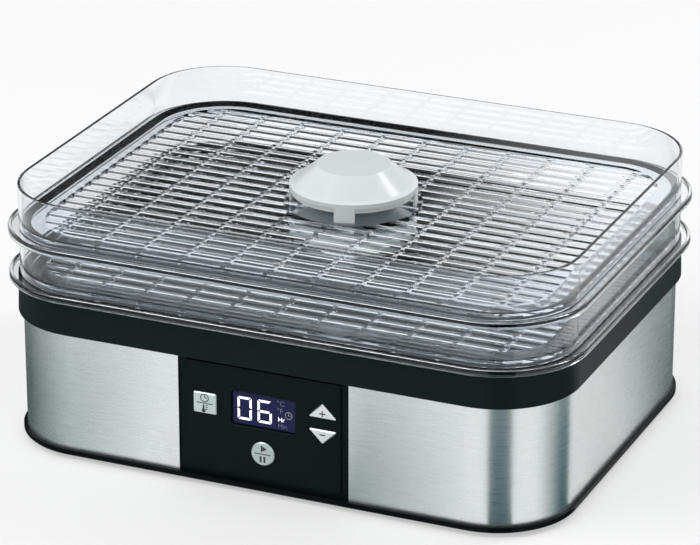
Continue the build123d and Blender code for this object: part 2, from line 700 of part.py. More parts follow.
# Heating element: an open ring of sheathed tube whose ends leave through the duct.
gap_half = HEATER_GAP_DEG / 2
leg_y = HEATER_R * sin(radians(gap_half))
leg_x = HEATER_R * cos(radians(gap_half))
with BuildPart() as heating_element:
    with BuildLine(Plane.XY.offset(HEATER_Z)) as loop:
        CenterArc((0, 0), HEATER_R, gap_half, 360 - HEATER_GAP_DEG)
    with BuildSketch(Plane(loop.line @ 0, z_dir=loop.line % 0)):
        Circle(HEATER_TUBE_R)
    sweep(path=loop.line)
    with BuildSketch(Plane.YZ.offset(leg_x)):
        with Locations((leg_y, HEATER_Z), (-leg_y, HEATER_Z)):
            Circle(HEATER_TUBE_R)
    extrude(amount=OUTLET_R + HEATER_TAIL - leg_x)
    with Locations((leg_x, leg_y, HEATER_Z), (leg_x, -leg_y, HEATER_Z)):
        Sphere(HEATER_TUBE_R)
save(heating_element.part, "heating_element")

with BuildPart() as heater_clips:
    clip_l = DUCT_R - HEATER_R + HEATER_TUBE_R
    with BuildSketch(Plane.XY.offset(HEATER_Z - HEATER_TUBE_R)):
        with PolarLocations(DUCT_R - clip_l / 2, CLIP_COUNT, start_angle=CLIP_TURN):
            Rectangle(clip_l, CLIP_W)
    extrude(amount=-CLIP_T)
    extrude(disc(HEATER_Z - 2 * HEATER_TUBE_R, DUCT_R), amount=2 * HEATER_TUBE_R, mode=Mode.INTERSECT)
save(heater_clips.part, "heater_clips")

# Thermal cut-out on the outside of the duct, and the air temperature sensor through its wall.
with BuildPart() as thermal_cutout:
    with BuildSketch(Plane.YZ.offset(-OUTLET_R - CUTOUT_T)):
        with Locations((0, HEATER_Z)):
            Circle(CUTOUT_R)
    extrude(amount=CUTOUT_T)
save(thermal_cutout.part, "thermal_cutout")

with BuildPart() as temperature_sensor:
    with BuildSketch(Plane.XZ.offset(DUCT_R - SENSOR_REACH)):
        with Locations((0, SENSOR_Z)):
            Circle(SENSOR_R)
    extrude(amount=SENSOR_L)
save(temperature_sensor.part, "temperature_sensor")

# Cord gland: a flanged bush through the rear of the steel and the pan, with its nut inside.
GLAND_L = STEEL_T + FIT + INNER_WALL_T + GLAND_NUT_T
with BuildPart() as cord_gland:
    with BuildSketch(REAR):
        with Locations((-GLAND_X, GLAND_Z)):
            Circle(GLAND_FLANGE_R)
    extrude(amount=GLAND_FLANGE_T)
    fillet(cord_gland.faces().sort_by(Axis.Y)[-1].edges(), GLAND_EDGE_R)
    with BuildSketch(REAR):
        with Locations((-GLAND_X, GLAND_Z)):
            Circle(GLAND_R)
    extrude(amount=-GLAND_L)
    with BuildSketch(REAR.offset(GLAND_FLANGE_T)):
        with Locations((-GLAND_X, GLAND_Z)):
            Circle(GLAND_BORE_R)
    extrude(amount=-GLAND_FLANGE_T - GLAND_L, mode=Mode.SUBTRACT)
save(cord_gland.part, "cord_gland")

with BuildPart() as gland_nut:
    with BuildSketch(REAR.offset(WALL_INNER)):
        with Locations((-GLAND_X, GLAND_Z)):
            RegularPolygon(GLAND_FLANGE_R, 6)
            Circle(GLAND_R + SCREW_FIT, mode=Mode.SUBTRACT)
    extrude(amount=-GLAND_NUT_T)
save(gland_nut.part, "gland_nut")

# Trays: wall with an outward flange and a locating rim, a slatted floor and an air cap.
WALL_IN = TRAY_OUTSET - TRAY_WALL
FLANGE_OUT = TRAY_OUTSET + FLANGE_W
LEDGE_IN = WALL_IN - LEDGE_W
LOCATOR_OUT = WALL_IN - TRAY_FIT
SLOT_IN = WALL_IN - MARGIN_W
SLOT_W = STEEL_W + 2 * SLOT_IN
SLOT_D = STEEL_D + 2 * SLOT_IN
CAP_SEAT_R = CAP_R + CAP_SEAT_EDGE
CAP_H = TRAY_H - RIB_H - SLAT_H - CAP_HEADROOM
RIB_COUNT = 2 * int((SLOT_W / 2 - RIB_W) / RIB_PITCH) + 1
SLAT_COUNT = 2 * int((SLOT_D / 2 - SLAT_W / 2) / SLAT_PITCH) + 1


def tray_frame(seat):
    """Wall, flange with its rounded edge, ledge for the floor and locating rim."""
    with BuildPart() as frame:
        edge_low = seat - FLANGE_EDGE_DROP
        edge_h = FLANGE_EDGE_DROP + FLANGE_T + FLANGE_EDGE_RISE
        extrude(ring(edge_low, FLANGE_OUT, FLANGE_OUT - FLANGE_EDGE_W), amount=edge_h)
        fillet(frame.edges().filter_by(Axis.Z, reverse=True), FLANGE_EDGE_R)
        extrude(ring(seat, FLANGE_OUT - FLANGE_EDGE_W, LEDGE_IN), amount=FLANGE_T)
        extrude(ring(seat + FLANGE_T, TRAY_OUTSET, WALL_IN), amount=TRAY_H - FLANGE_T)
        fillet(frame.faces().sort_by(Axis.Z)[-1].edges(), RIM_R)
        extrude(ring(seat, LOCATOR_OUT, LOCATOR_OUT - LOCATOR_T), amount=-LOCATOR_H)
    return frame.part


def slat_ends(level):
    """The slats' round-topped ends, side by side at the left of the slotted field."""
    with BuildSketch(Plane.YZ.offset(-(SLOT_W + LEDGE_W) / 2)) as face:
        with Locations((0, level + SLAT_H / 2)):
            with GridLocations(SLAT_PITCH, 1, SLAT_COUNT, 1):
                Rectangle(SLAT_W, SLAT_H)
        fillet(face.vertices().group_by(Axis.Y)[-1], SLAT_R)
    return face.sketch


def tray_grille(seat):
    """Slats along X over beaded ribs along Y, in a plain margin, with a disc for the cap's legs."""
    low = seat + FLANGE_T
    with BuildPart() as grille:
        extrude(ring(low, WALL_IN - FIT, SLOT_IN), amount=RIB_H + SLAT_H)
        with BuildSketch(Plane.XY.offset(low)):
            with GridLocations(RIB_PITCH, 1, RIB_COUNT, 1):
                Rectangle(RIB_W, SLOT_D + LEDGE_W)
            with GridLocations(RIB_PITCH, SLAT_PITCH, RIB_COUNT, SLAT_COUNT + 1):
                Circle(BEAD_R)
        extrude(amount=RIB_H)
        extrude(slat_ends(low + RIB_H), amount=SLOT_W + LEDGE_W)
        extrude(disc(low, CAP_SEAT_R), amount=RIB_H + SLAT_H)
        extrude(disc(low, TRAY_HOLE_R), amount=RIB_H + SLAT_H, mode=Mode.SUBTRACT)
    return grille.part


def air_cap(seat, vented):
    """Conical cap on four legs; the vented one has a sunk top with slots round its edge."""
    foot = seat + FLANGE_T + RIB_H + SLAT_H
    rim_low = CAP_STAND - CAP_RIM_H
    ring_low = rim_low - CAP_RING_H
    shoulder_r = CAP_R - CAP_SHOULDER
    shoulder_z = CAP_STAND + CAP_SHOULDER_RISE
    ring_r = CAP_R - CAP_RING_IN
    slope = (CAP_H - shoulder_z) / (shoulder_r - CAP_TOP_R)
    inset = CAP_T / sin(atan(slope))
    top_z = CAP_H - CAP_RECESS if vented else CAP_H
    under_z = top_z - CAP_T
    under_r = CAP_TOP_R + (CAP_H - under_z) / slope - inset
    skirt_r = shoulder_r - CAP_T
    skirt_z = CAP_H - (skirt_r + inset - CAP_TOP_R) * slope
    lip = [(CAP_RECESS_R, top_z), (CAP_RECESS_R, CAP_H)] if vented else []
    with BuildPart() as cap:
        with BuildSketch(Plane(origin=(0, 0, foot), x_dir=(1, 0, 0), z_dir=(0, -1, 0))):
            with BuildLine():
                Polyline(
                    (0, top_z),
                    *lip,
                    (CAP_TOP_R, CAP_H),
                    (shoulder_r, shoulder_z),
                    (CAP_R, CAP_STAND),
                    (CAP_R, rim_low),
                    (ring_r, rim_low),
                    (ring_r, ring_low),
                    (skirt_r, ring_low),
                    (skirt_r, skirt_z),
                    (under_r, under_z),
                    (0, under_z),
                    close=True,
                )
            make_face()
        revolve(axis=Axis.Z)
        with BuildSketch(Plane.XY.offset(foot)):
            with PolarLocations(CAP_R, CAP_LEGS, start_angle=CAP_LEG_TURN):
                Rectangle(2 * CAP_T, CAP_LEG_W)
            Circle(CAP_R, mode=Mode.INTERSECT)
            Circle(CAP_R - CAP_T, mode=Mode.SUBTRACT)
        extrude(amount=CAP_STAND - CAP_RIM_H / 2)
        if vented:
            with BuildSketch(Plane.XY.offset(foot + top_z)):
                with PolarLocations(0, CAP_SLOTS):
                    SlotArc(CenterArc((0, 0), CAP_SLOT_R, -CAP_SLOT_DEG / 2, CAP_SLOT_DEG), CAP_SLOT_W)
            extrude(amount=-CAP_T, mode=Mode.SUBTRACT)
    return cap.part


for tray, level in (("lower", SEAT_Z), ("upper", SEAT_Z + TRAY_H)):
    save(tray_frame(level), f"{tray}_tray_frame")
    save(tray_grille(level), f"{tray}_tray_grille")
    save(air_cap(level, vented=tray == "lower"), f"{tray}_air_cap")
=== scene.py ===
from math import cos, pi, radians, sin

import bpy
from bpy.props import FloatProperty, FloatVectorProperty, PointerProperty
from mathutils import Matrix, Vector


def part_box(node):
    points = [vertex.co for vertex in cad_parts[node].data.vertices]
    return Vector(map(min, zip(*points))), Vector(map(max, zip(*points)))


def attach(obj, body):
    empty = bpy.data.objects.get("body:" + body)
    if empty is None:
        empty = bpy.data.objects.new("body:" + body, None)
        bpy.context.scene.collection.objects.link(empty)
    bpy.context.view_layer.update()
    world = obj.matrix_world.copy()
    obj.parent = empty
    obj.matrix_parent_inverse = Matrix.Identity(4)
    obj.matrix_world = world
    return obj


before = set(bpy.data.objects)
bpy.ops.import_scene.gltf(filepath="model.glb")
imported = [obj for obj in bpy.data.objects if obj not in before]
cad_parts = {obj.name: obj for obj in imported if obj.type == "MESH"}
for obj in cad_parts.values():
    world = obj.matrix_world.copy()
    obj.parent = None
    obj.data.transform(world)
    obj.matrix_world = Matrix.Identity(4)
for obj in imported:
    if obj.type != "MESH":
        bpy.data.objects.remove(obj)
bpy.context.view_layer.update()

bl_info = {
    "name": "Food Dehydrator Looks",
    "version": (1, 0, 0),
    "blender": (4, 5, 0),
    "location": "View3D > Sidebar > Dehydrator",
    "description": "Finishes, panel marks and studio for the food dehydrator",
    "category": "Object",
}

FRONT_TURN = (pi / 2, 0, 0)  # turns a shape that lies flat to face the front
FACING = 0.9  # least part of a normal along the axis that a face is picked by

# Marks on the buttons, in metres from the button's centre
LINE_ROUND = 0.3  # rounding of a line's ends over its width
ICON_RISE = 0.0037  # of the symbols above and below the dividing line
BULB_SIZE, BULB_ROUND, BULB_Z = 0.0027, 0.0013, -0.0050
STEM_W, STEM_H, STEM_ROUND, STEM_Z = 0.0012, 0.0040, 0.00055, -0.0029
STEM_X = -0.0007
TICKS, TICK_W, TICK_X, TICK_TOP, TICK_STEP = 3, 0.0016, 0.0014, -0.0014, 0.0013
TICK_LINE, TICK_ROUND = 0.8, 0.25  # shares of a printed line's width
ARROW_SIZE, ARROW_BLUNT, ARROW_X = 0.46, 0.12, 0.0003  # radius over the icon, blunting over the radius
PAUSE_W, PAUSE_H, PAUSE_ROUND, PAUSE_X = 0.0014, 0.0042, 0.0003, 0.0013
SIGN_LINE, SIGN_ROUND = 1.2, 0.4  # shares of a printed line's width
SIGN_SHIFT = 0.0015  # from the middle of an arrow button towards its broad side

# Hands of a clock face: length and centre, over its radius
HOUR_LENGTH, HOUR_CENTRE = 0.62, 0.25
MINUTE_LENGTH, MINUTE_CENTRE = 0.75, 0.31

# Segments that are on in each digit
DIGITS = (("tens_digit", "abcdef"), ("units_digit", "acdefg"))

# Unit marks: piece, words, place from the lens's left edge and middle, share of the type size, on or off
UNITS = (
    ("degree_c_mark", "\u00b0C", (0.0305, 0.0074), 1.0, False),
    ("degree_f_mark", "\u00b0F", (0.0305, 0.0022), 1.0, False),
    ("hour_mark", "Hr", (0.0312, -0.0036), 0.85, True),
    ("minute_mark", "Min", (0.0312, -0.0080), 0.85, False),
)
TIMER_RADIUS, TIMER_LINE, TIMER_PLACE = 0.0025, 0.00040, (0.0386, 0.0002)
TIMER_TONE = 0.19  # share of the lit colour

# Stage, in metres
FLOOR_SIZE = 12
CARD_Z = 0.001
KEY_PLACE, KEY_SIZE = (-1.1, -1.3, 1.9), (1.6, 1.6)
RIM_PLACE, RIM_SIZE = (1.05, 1.12, 1.60), (0.30, 1.10)
LAMP_AIM = (0, 0, 0.1)
FLAG_PLACE, FLAG_SIZE = (-1.05, 1.25, 0.55), (1.60, 1.1, 1)
FLAG_SOLID_X, FLAG_CLEAR_X = -0.46, -0.26  # between which it thins out
SENSOR_MM = 36
VIEW_DEPTH = 50


def colour(name, description, default):
    return FloatVectorProperty(name=name, description=description, subtype="COLOR", size=3,
                               min=0, max=1, default=default)


def length(name, description, default):
    return FloatProperty(name=name, description=description, default=default, unit="LENGTH",
                         precision=5, min=0)


class DehydratorFinish(bpy.types.PropertyGroup):
    """Colours of the base, the trays and the buttons."""
    steel: colour("Steel", "Brushed steel of the wrap", (0.755, 0.795, 0.79))
    plastic: colour("Black plastic", "Band and deck", (0.0072, 0.0125, 0.0136))
    skirt: colour("Skirt", "Bottom pan and its skirt", (0.0026, 0.0044, 0.0048))
    fascia: colour("Fascia", "Control panel", (0.0028, 0.0058, 0.0066))
    sheen: colour("Black sheen", "Cool cast of the gloss on black plastic", (0.72, 1.0, 1.0))
    clear: colour("Clear plastic", "Tint of the trays", (0.925, 0.955, 0.985))
    clear_sheen: colour("Clear sheen", "Cool cast of the gloss on the trays", (0.86, 0.93, 1.0))
    # The lower cap's grey is painted shade: a darker copy of the same translucent plastic as the upper cap
    shaded_lower_cap: colour("Lower cap", "Translucent grey plastic", (0.62, 0.72, 0.74))
    white_cap: colour("Upper cap", "Translucent white plastic", (0.90, 0.95, 0.96))
    silver: colour("Square button", "Satin silver plastic", (0.58, 0.672, 0.678))
    # The arrow buttons' paler silver is painted light: the buttons' one silver made lighter
    painted_light_silver: colour("Arrow buttons", "Pale satin silver plastic", (0.78, 0.90, 0.90))
    # The round button's darker silver is painted shade: the buttons' one silver made darker
    painted_shade_silver: colour("Round button", "Darker satin silver plastic", (0.47, 0.56, 0.56))
    ink: colour("Button marks", "Dark print on the buttons", (0.055, 0.060, 0.062))
    rubber: colour("Feet", "Black rubber", (0.015, 0.015, 0.015))


class DehydratorDisplay(bpy.types.PropertyGroup):
    """Colours and sizes of the lit display."""
    lens: colour("Lens", "Tinted lens", (0.010, 0.0125, 0.066))
    lit: colour("Lit marks", "Digits that are on", (0.95, 0.97, 1.0))
    # The unit marks that are off are given a faint glow in this colour: painted glow
    dim: colour("Dim marks", "Unit marks that are off", (0.10, 0.12, 0.16))
    digit_w: length("Digit width", "Outer width of a digit", 0.0097)
    digit_h: length("Digit height", "Outer height of a digit", 0.0156)
    stroke: length("Stroke", "Width of a segment", 0.00152)
    gap: length("Gap", "Gap between segments", 0.00058)
    pitch: length("Digit pitch", "Distance between the digits", 0.0138)
    margin: length("Margin", "Lens edge to the first digit", 0.0035)
    unit_h: length("Unit height", "Type size of the unit marks", 0.0050)
    relief: length("Relief", "Thickness of the lit marks", 0.00012)


class DehydratorMarks(bpy.types.PropertyGroup):
    """Sizes of the marks on the buttons."""
    icon: length("Icon", "Width of a symbol", 0.0060)
    line: length("Line", "Width of a printed line", 0.00065)
    rule: length("Rule", "Length of the dividing line", 0.0112)
    sign: length("Sign", "Length of the plus and minus bars", 0.0042)
    thick: length("Ink", "Thickness of the print", 0.00012)


class DehydratorStage(bpy.types.PropertyGroup):
    """Floor, lamps and camera."""
    floor: colour("Floor", "Pale studio floor", (0.94, 0.94, 0.94))
    glow: FloatProperty(name="Floor glow", description="Share of plain white in the floor as it is seen",
                        default=0.45, min=0, max=1, subtype="FACTOR")
    ambient: FloatProperty(name="Ambient", description="Level of the sky on plain surfaces",
                           default=0.72, min=0)
    key: FloatProperty(name="Key", description="Power of the key lamp", default=20.0, min=0, unit="POWER")
    rim: FloatProperty(name="Rim", description="Power of the strip lamp behind", default=8.0, min=0,
                       unit="POWER")
    azimuth: FloatProperty(name="Azimuth", description="Camera's turn from the front", subtype="ANGLE",
                           default=radians(23.52))
    elevation: FloatProperty(name="Elevation", description="Camera's height angle", subtype="ANGLE",
                             default=radians(22.39))
    distance: length("Distance", "Camera to target", 2.469)
    focal: FloatProperty(name="Focal length", description="Camera's focal length in millimetres",
                         default=194.49, unit="CAMERA")
    target: FloatVectorProperty(name="Target", description="Point the camera looks at", subtype="XYZ",
                                unit="LENGTH", default=(-0.00215, -0.00094, 0.0979))


class Value:
    """A shader socket with arithmetic: an expression adds the Math nodes that it needs."""

    def __init__(self, graph, socket):
        self.graph = graph
        self.socket = socket

    def __add__(self, other):
        return self.graph.math("ADD", self, other)

    def __radd__(self, other):
        return self.graph.math("ADD", other, self)

    def __sub__(self, other):
        return self.graph.math("SUBTRACT", self, other)

    def __rsub__(self, other):
        return self.graph.math("SUBTRACT", other, self)

    def __mul__(self, other):
        return self.graph.math("MULTIPLY", self, other)

    def __rmul__(self, other):
        return self.graph.math("MULTIPLY", other, self)


class Graph:
    """Nodes of one material or world."""

    def __init__(self, tree):
        self.tree = tree
        tree.nodes.clear()

    def node(self, kind, settings=None, inputs=None, output=0):
        """Adds a node, sets its options, fills its sockets and returns one output."""
        made = self.tree.nodes.new("ShaderNode" + kind)
        for key, setting in (settings or {}).items():
            setattr(made, key, setting)
        for key, entry in (inputs or {}).items():
            if isinstance(entry, Value):
                self.tree.links.new(entry.socket, made.inputs[key])
            else:
                made.inputs[key].default_value = entry
        return Value(self, made.outputs[output]) if made.outputs else None

    def math(self, operation, first, second):
        return self.node("Math", {"operation": operation}, {0: first, 1: second})

    def stretched(self, scale):
        """Object coordinates scaled along each axis."""
        place = self.node("TexCoord", output="Object")
        return self.node("Mapping", {"vector_type": "POINT"}, {"Vector": place, "Scale": scale})

    def noise(self, scale, detail=2.0, roughness=0.5):
        """Noise in object coordinates; scale is per metre along each axis."""
        return self.node("TexNoise", None, {"Vector": self.stretched(scale), "Scale": 1.0,
                                            "Detail": detail, "Roughness": roughness})

    def blend(self, mask, low, high):
        """A colour between two, by a mask."""
        return self.node("Mix", {"data_type": "RGBA"},
                         {"Factor": mask, "A": (*low, 1), "B": (*high, 1)}, output="Result")

    def bump(self, height, strength, depth):
        return self.node("Bump", None, {"Height": height, "Strength": strength, "Distance": depth})


def shade(base, factor):
    """A lighter or darker tone of a colour."""
    return tuple(min(1.0, channel * factor) for channel in base)


def material(name, build):
    """Makes a material once; build gets its graph and returns the surface shader."""
    name += "_finish"
    if name in bpy.data.materials:
        return bpy.data.materials[name]
    made = bpy.data.materials.new(name)
    made.use_nodes = True
    graph = Graph(made.node_tree)
    graph.node("OutputMaterial", None, {"Surface": build(graph)})
    return made


def brushed_steel(base):
    """Steel with fine level strokes."""
    def build(g):
        strokes = g.noise((75, 75, 1900), detail=3, roughness=0.65)
        hairs = g.noise((40, 40, 4200), detail=2, roughness=0.6)
        cloud = g.noise((5, 5, 9), detail=1)
        streak = strokes * 0.6 + hairs * 0.4
        return g.node("BsdfPrincipled", None, {
            "Base Color": g.blend(streak, shade(base, 0.77), shade(base, 1.23)),
            "Metallic": 1.0,
            "Roughness": 0.16 + 0.20 * streak + 0.05 * cloud,
            "Anisotropic": 0.6,
            "Anisotropic Rotation": 0.25,
            "Normal": g.bump(strokes, strength=0.07, depth=0.0002),
        })
    return material("brushed_steel", build)


def moulded(name, base, gloss, grain, level, relief=0.06, sheen=(1, 1, 1)):
    """Moulded plastic, rubber or ink with a fine grain."""
    def build(g):
        pores = g.noise((grain, grain, grain), detail=2)
        cloud = g.noise((11, 11, 11), detail=3)
        return g.node("BsdfPrincipled", None, {
            "Base Color": g.blend(cloud, shade(base, 0.85), shade(base, 1.15)),
            "Roughness": gloss + 0.10 * pores + 0.06 * cloud,
            "Specular IOR Level": level,
            "Specular Tint": (*sheen, 1),
            "Normal": g.bump(pores, strength=relief, depth=0.0001),
        })
    return material(name, build)


def satin_silver(name, base):
    """Brushed silver coat of the buttons."""
    def build(g):
        hairs = g.noise((260, 260, 2600), detail=3, roughness=0.6)
        cloud = g.noise((130, 130, 130), detail=2)
        tone = hairs * 0.45 + cloud * 0.55
        return g.node("BsdfPrincipled", None, {
            "Base Color": g.blend(tone, shade(base, 0.72), shade(base, 1.28)),
            "Metallic": 0.85,
            "Roughness": 0.26 + 0.16 * hairs,
            "Normal": g.bump(hairs, strength=0.10, depth=0.0001),
        })
    return material(name, build)


def clear_plastic(base, sheen):
    """Clear tray plastic with a slight ripple."""
    def build(g):
        cloud = g.noise((14, 14, 14), detail=2)
        ripple = g.noise((60, 60, 60), detail=1)
        return g.node("BsdfPrincipled", None, {
            "Base Color": g.blend(cloud, shade(base, 0.98), shade(base, 1.02)),
            "Roughness": 0.004 + 0.012 * cloud,
            "IOR": 1.46,
            "Transmission Weight": 1.0,
            "Specular Tint": (*sheen, 1),
            "Normal": g.bump(ripple, strength=0.015, depth=0.0004),
        })
    return material("clear_plastic", build)


def frosted(name, base, through):
    """Translucent cap plastic."""
    def build(g):
        cloud = g.noise((25, 25, 25), detail=3)
        pores = g.noise((1500, 1500, 1500), detail=1)
        return g.node("BsdfPrincipled", None, {
            "Base Color": g.blend(cloud, shade(base, 0.94), shade(base, 1.05)),
            "Roughness": 0.15 + 0.08 * cloud,
            "IOR": 1.46,
            "Transmission Weight": through,
            "Normal": g.bump(pores, strength=0.03, depth=0.0001),
        })
    return material(name, build)


def lens_tint(base):
    """Dark tinted lens of the display."""
    def build(g):
        cloud = g.noise((40, 40, 40), detail=2)
        return g.node("BsdfPrincipled", None, {
            "Base Color": g.blend(cloud, shade(base, 0.92), shade(base, 1.08)),
            "Roughness": 0.10 + 0.05 * cloud,
            "Specular IOR Level": 0.15,
        })
    return material("display_lens", build)


def lit_mark(name, base, level):
    """Marks that glow on the display."""
    def build(g):
        cloud = g.noise((300, 300, 300), detail=1)
        return g.node("BsdfPrincipled", None, {
            "Base Color": (*base, 1),
            "Roughness": 0.5,
            "Specular IOR Level": 0.1,
            "Emission Color": g.blend(cloud, shade(base, 0.95), base),
            "Emission Strength": level,
        })
    return material(name, build)


def plated(name, base, rough):
    """Plain metal of screws, motor and heater."""
    def build(g):
        cloud = g.noise((80, 80, 80), detail=3)
        return g.node("BsdfPrincipled", None, {
            "Base Color": g.blend(cloud, shade(base, 0.8), shade(base, 1.1)),
            "Metallic": 1.0,
            "Roughness": rough + 0.15 * cloud,
        })
    return material(name, build)


def board_lacquer():
    """Green lacquer over a relief of tracks."""
    def build(g):
        tracks = g.node("TexBrick", None, {"Vector": g.stretched((160, 160, 160)), "Scale": 2.0,
                                           "Mortar Size": 0.03})
        cloud = g.noise((50, 50, 50))
        return g.node("BsdfPrincipled", None, {
            "Base Color": g.blend(cloud, (0.010, 0.085, 0.035), (0.020, 0.14, 0.06)),
            "Roughness": 0.35 + 0.10 * cloud,
            "Normal": g.bump(tracks, strength=0.05, depth=0.0001),
        })
    return material("circuit_board", build)


def matt(g, shaded, **inputs):
    """Dull paper or cloth of the stage."""
    return g.node("BsdfPrincipled", None, {
        "Base Color": shaded, "Roughness": 0.9, "Specular IOR Level": 0.0, **inputs})


def seen(g):
    """1 on rays from the camera, the steel and the clear plastic, 0 on the light that they receive."""
    camera, glossy, through = (g.node("LightPath", output=f"Is {ray} Ray")
                               for ray in ("Camera", "Glossy", "Transmission"))
    return g.math("MAXIMUM", g.math("MAXIMUM", camera, glossy), through)


def part_along(g, direction):
    """Object coordinates measured along a floor direction."""
    return g.node("VectorMath", {"operation": "DOT_PRODUCT"},
                  {0: g.node("TexCoord", output="Object"), 1: (*direction, 0)}, output="Value")


def along(start, end):
    """A mask that runs from one floor point to another."""
    run = Vector(end) - Vector(start)
    step = run / run.length_squared
    return lambda g: part_along(g, step) - step.dot(Vector(start))


def around(centre, first, last):
    """A mask that fans round a floor point, between two azimuths in degrees from the front."""
    middle, half = radians(first + last) / 2, radians(last - first) / 2
    ahead, aside = Vector((sin(middle), -cos(middle))), Vector((cos(middle), sin(middle)))
    centre = Vector(centre)

    def mask(g):
        angle = g.math("ARCTAN2", part_along(g, aside) - aside.dot(centre),
                       part_along(g, ahead) - ahead.dot(centre))
        return 0.5 + angle * (0.5 / half)
    return mask


def cool(tone):
    """A grey whose darker tones lean to blue-green."""
    return (tone * min(1.0, 0.66 + 0.40 * tone), tone, tone)


# Floor cards that the steel mirrors: outline, mask, and the colours where the mask is 0 and 1
CARDS = {
    "left_card": (
        ((-0.137, -0.135), (-0.257, -0.421), (-0.42, -0.30), (-0.48, -0.06), (-0.40, 0.12),
         (-0.33, 0.145), (-0.176, -0.105)),
        around((-0.134, -0.129), -105, -20), cool(0.11), cool(0.58)),
    "front_left_card": (
        ((-0.137, -0.135), (-0.257, -0.41), (-0.205, -0.41), (-0.085, -0.135)),
        along((-0.137, -0.147), (-0.0960, -0.1648)), cool(0.58), cool(0.94)),
    "front_right_card": (
        ((0.058, -0.135), (-0.062, -0.41), (0.015, -0.41), (0.135, -0.135)),
        along((0.058, -0.147), (0.1185, -0.1733)), cool(0.44), cool(0.93)),
    "corner_card": (
        ((0.150, -0.133), (0.2325, -0.626), (0.495, -0.499), (0.160, -0.128)),
        around((0.1474, -0.1153), 9, 40), (0.025, 0.085, 0.10), (0.035, 0.10, 0.115)),
    "turn_card": (
        ((0.1825, -0.1046), (0.1691, -0.1217), (0.443, -0.170), (0.45, 0.02), (0.3393, 0.1252)),
        around((0.1666, -0.1179), 80, 124), cool(0.94), (0.025, 0.105, 0.12)),
    "side_card": (
        ((0.186, -0.06), (0.300, 0.202), (0.32, 0.50), (0.05, 0.50), (0.13, 0.14), (0.186, 0.11)),
        along((0.192, 0.105), (0.2267, 0.0899)), cool(0.17), cool(0.94)),
}


def dress(finish, *nodes):
    """Gives CAD nodes a finish."""
    for name in nodes:
        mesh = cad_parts[name].data
        mesh.materials.clear()
        mesh.materials.append(finish)


def deselect():
    if bpy.context.mode != "OBJECT":
        bpy.ops.object.mode_set(mode="OBJECT")
    bpy.ops.object.select_all(action="DESELECT")


def activate(piece):
    """Makes a piece the only one that the next operator acts on."""
    deselect()
    piece.select_set(True)
    bpy.context.view_layer.objects.active = piece


def apply_place():
    bpy.ops.object.transform_apply(location=True, rotation=True, scale=True)


def pick(test):
    """Selects the faces of the piece in edit mode whose normal passes a test."""
    bpy.ops.mesh.select_mode(type="FACE")
    bpy.ops.mesh.select_all(action="DESELECT")
    bpy.ops.object.mode_set(mode="OBJECT")
    for face in bpy.context.object.data.polygons:
        face.select = test(face.normal)
    bpy.ops.object.mode_set(mode="EDIT")


def round_corners(radius, segments):
    """Bevels the edges of the piece in edit mode that run from front to back."""
    bpy.ops.mesh.select_mode(type="EDGE")
    bpy.ops.mesh.select_all(action="DESELECT")
    bpy.ops.object.mode_set(mode="OBJECT")
    mesh = bpy.context.object.data
    for edge in mesh.edges:
        one, two = (mesh.vertices[index].co for index in edge.vertices)
        edge.select = abs(one.y - two.y) > (one - two).length / 2
    bpy.ops.object.mode_set(mode="EDIT")
    bpy.ops.mesh.bevel(offset=radius, segments=segments)


def block(size):
    """A block at the origin, open for editing."""
    deselect()
    bpy.ops.mesh.primitive_cube_add(size=1)
    bpy.context.object.scale = size
    bpy.ops.object.transform_apply(scale=True)
    bpy.ops.object.mode_set(mode="EDIT")


def disc(radius, thick, sides):
    """A flat disc at the origin that faces the front, open for editing."""
    deselect()
    bpy.ops.mesh.primitive_cylinder_add(vertices=sides, radius=radius, depth=thick, rotation=FRONT_TURN)
    bpy.ops.object.transform_apply(rotation=True)
    bpy.ops.object.mode_set(mode="EDIT")


def close():
    """Leaves edit mode."""
    bpy.ops.object.mode_set(mode="OBJECT")
    return bpy.context.object


def copy(piece, place=(0, 0, 0), turn=(0, 0, 0)):
    """A turned and moved copy of a piece with its own mesh."""
    activate(piece)
    bpy.ops.object.duplicate(linked=False)
    made = bpy.context.object
    made.location = place
    made.rotation_euler = turn
    apply_place()
    return made


def move(piece, place):
    activate(piece)
    piece.location = place
    apply_place()
    return piece


def discard(*pieces):
    for piece in pieces:
        bpy.data.meshes.remove(piece.data)


def fuse(whole, other):
    """One closed mesh from two pieces that overlap."""
    activate(whole)
    bpy.ops.object.modifier_add(type="BOOLEAN")
    union = whole.modifiers[-1]
    union.operation = "UNION"
    union.solver = "EXACT"
    union.object = other
    bpy.ops.object.modifier_apply(modifier=union.name)
    discard(other)
    return whole


def join(pieces):
    """One piece from pieces that stay apart."""
    activate(pieces[0])
    for piece in pieces[1:]:
        piece.select_set(True)
    if len(pieces) > 1:
        bpy.ops.object.join()
    return bpy.context.object


def settle(piece, name, body, finish):
    """Names a piece, gives it its finish and lets it ride on a body."""
    piece.name = name
    piece.data.name = name
    piece.data.materials.clear()
    piece.data.materials.append(finish)
    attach(piece, body)


def rounded_bar(wide, thick, high, radius):
    """A bar that faces the front, with its four corners rounded."""
    block((wide, thick, high))
    round_corners(radius, segments=5)
    return close()


def ring(outer, width, thick):
    """A flat ring that faces the front."""
    disc(outer, thick, sides=48)
    pick(lambda normal: abs(normal.y) > FACING)
    bpy.ops.mesh.inset(thickness=width)
    bpy.ops.mesh.bridge_edge_loops()
    return close()


def right_arrow(radius, thick):
    """A flat triangle with blunted corners that faces the front and points to the right."""
    disc(radius, thick, sides=3)
    round_corners(radius * ARROW_BLUNT, segments=3)
    piece = close()
    piece.rotation_euler = (0, pi / 2, 0)
    bpy.ops.object.transform_apply(rotation=True)
    return piece


def clock(radius, line, thick):
    """A clock face: a ring with two hands."""
    hour = rounded_bar(radius * HOUR_LENGTH, thick, line, line * LINE_ROUND)
    minute = rounded_bar(line, thick, radius * MINUTE_LENGTH, line * LINE_ROUND)
    hands = fuse(move(hour, (radius * HOUR_CENTRE, 0, 0)), move(minute, (0, 0, radius * MINUTE_CENTRE)))
    return join([ring(radius, line, thick), hands])


